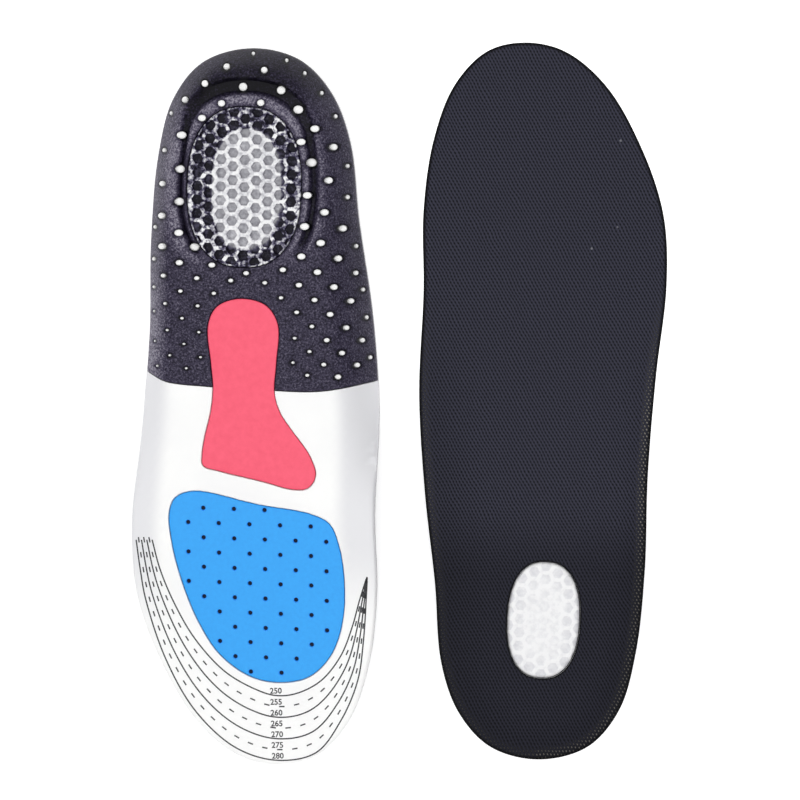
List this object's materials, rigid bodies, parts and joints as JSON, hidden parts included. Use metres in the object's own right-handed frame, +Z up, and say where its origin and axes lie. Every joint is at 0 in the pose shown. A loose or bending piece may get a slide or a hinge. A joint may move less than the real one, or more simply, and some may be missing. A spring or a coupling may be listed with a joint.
{
  "type": "cushioned insole",
  "caption": "Left and right moulded sport insoles with a deep heel cup, gel heel pad, arch support, forefoot pad and knitted cover; the left one lies sole up.",
  "frame": {"origin": "middle of the pair's footprint, on the surface that it lies on", "axes": "+Y towards the right insole's toe and the left insole's heel, +X from the left insole to the right one, +Z up"},
  "size_m": [0.2136, 0.2878, 0.0276],
  "materials": {
    "knitted_cover": "fine polyester knit, charcoal navy",
    "white_foam": "satin moulded foam skin",
    "black_foam": "satin moulded foam skin, fine grain",
    "clear_gel": "clear glossy gel",
    "red_support": "satin moulded",
    "blue_foam": "satin moulded foam"
  },
  "bodies": {
    "right_insole": {"right_top_cover": "knitted_cover", "right_foam_base": "white_foam", "right_heel_shell": "black_foam", "right_gel_heel_pad": "clear_gel", "right_arch_support": "red_support", "right_forefoot_pad": "blue_foam"},
    "left_insole": {"left_top_cover": "knitted_cover", "left_foam_base": "white_foam", "left_heel_shell": "black_foam", "left_gel_heel_pad": "clear_gel", "left_arch_support": "red_support", "left_forefoot_pad": "blue_foam"}
  },
  "joints": [
    {"name": "left_lift", "type": "slide", "parent": "right_insole", "child": "left_insole", "axis": [0, 0, 1], "range_m": [0, 0.1]}
  ]
}
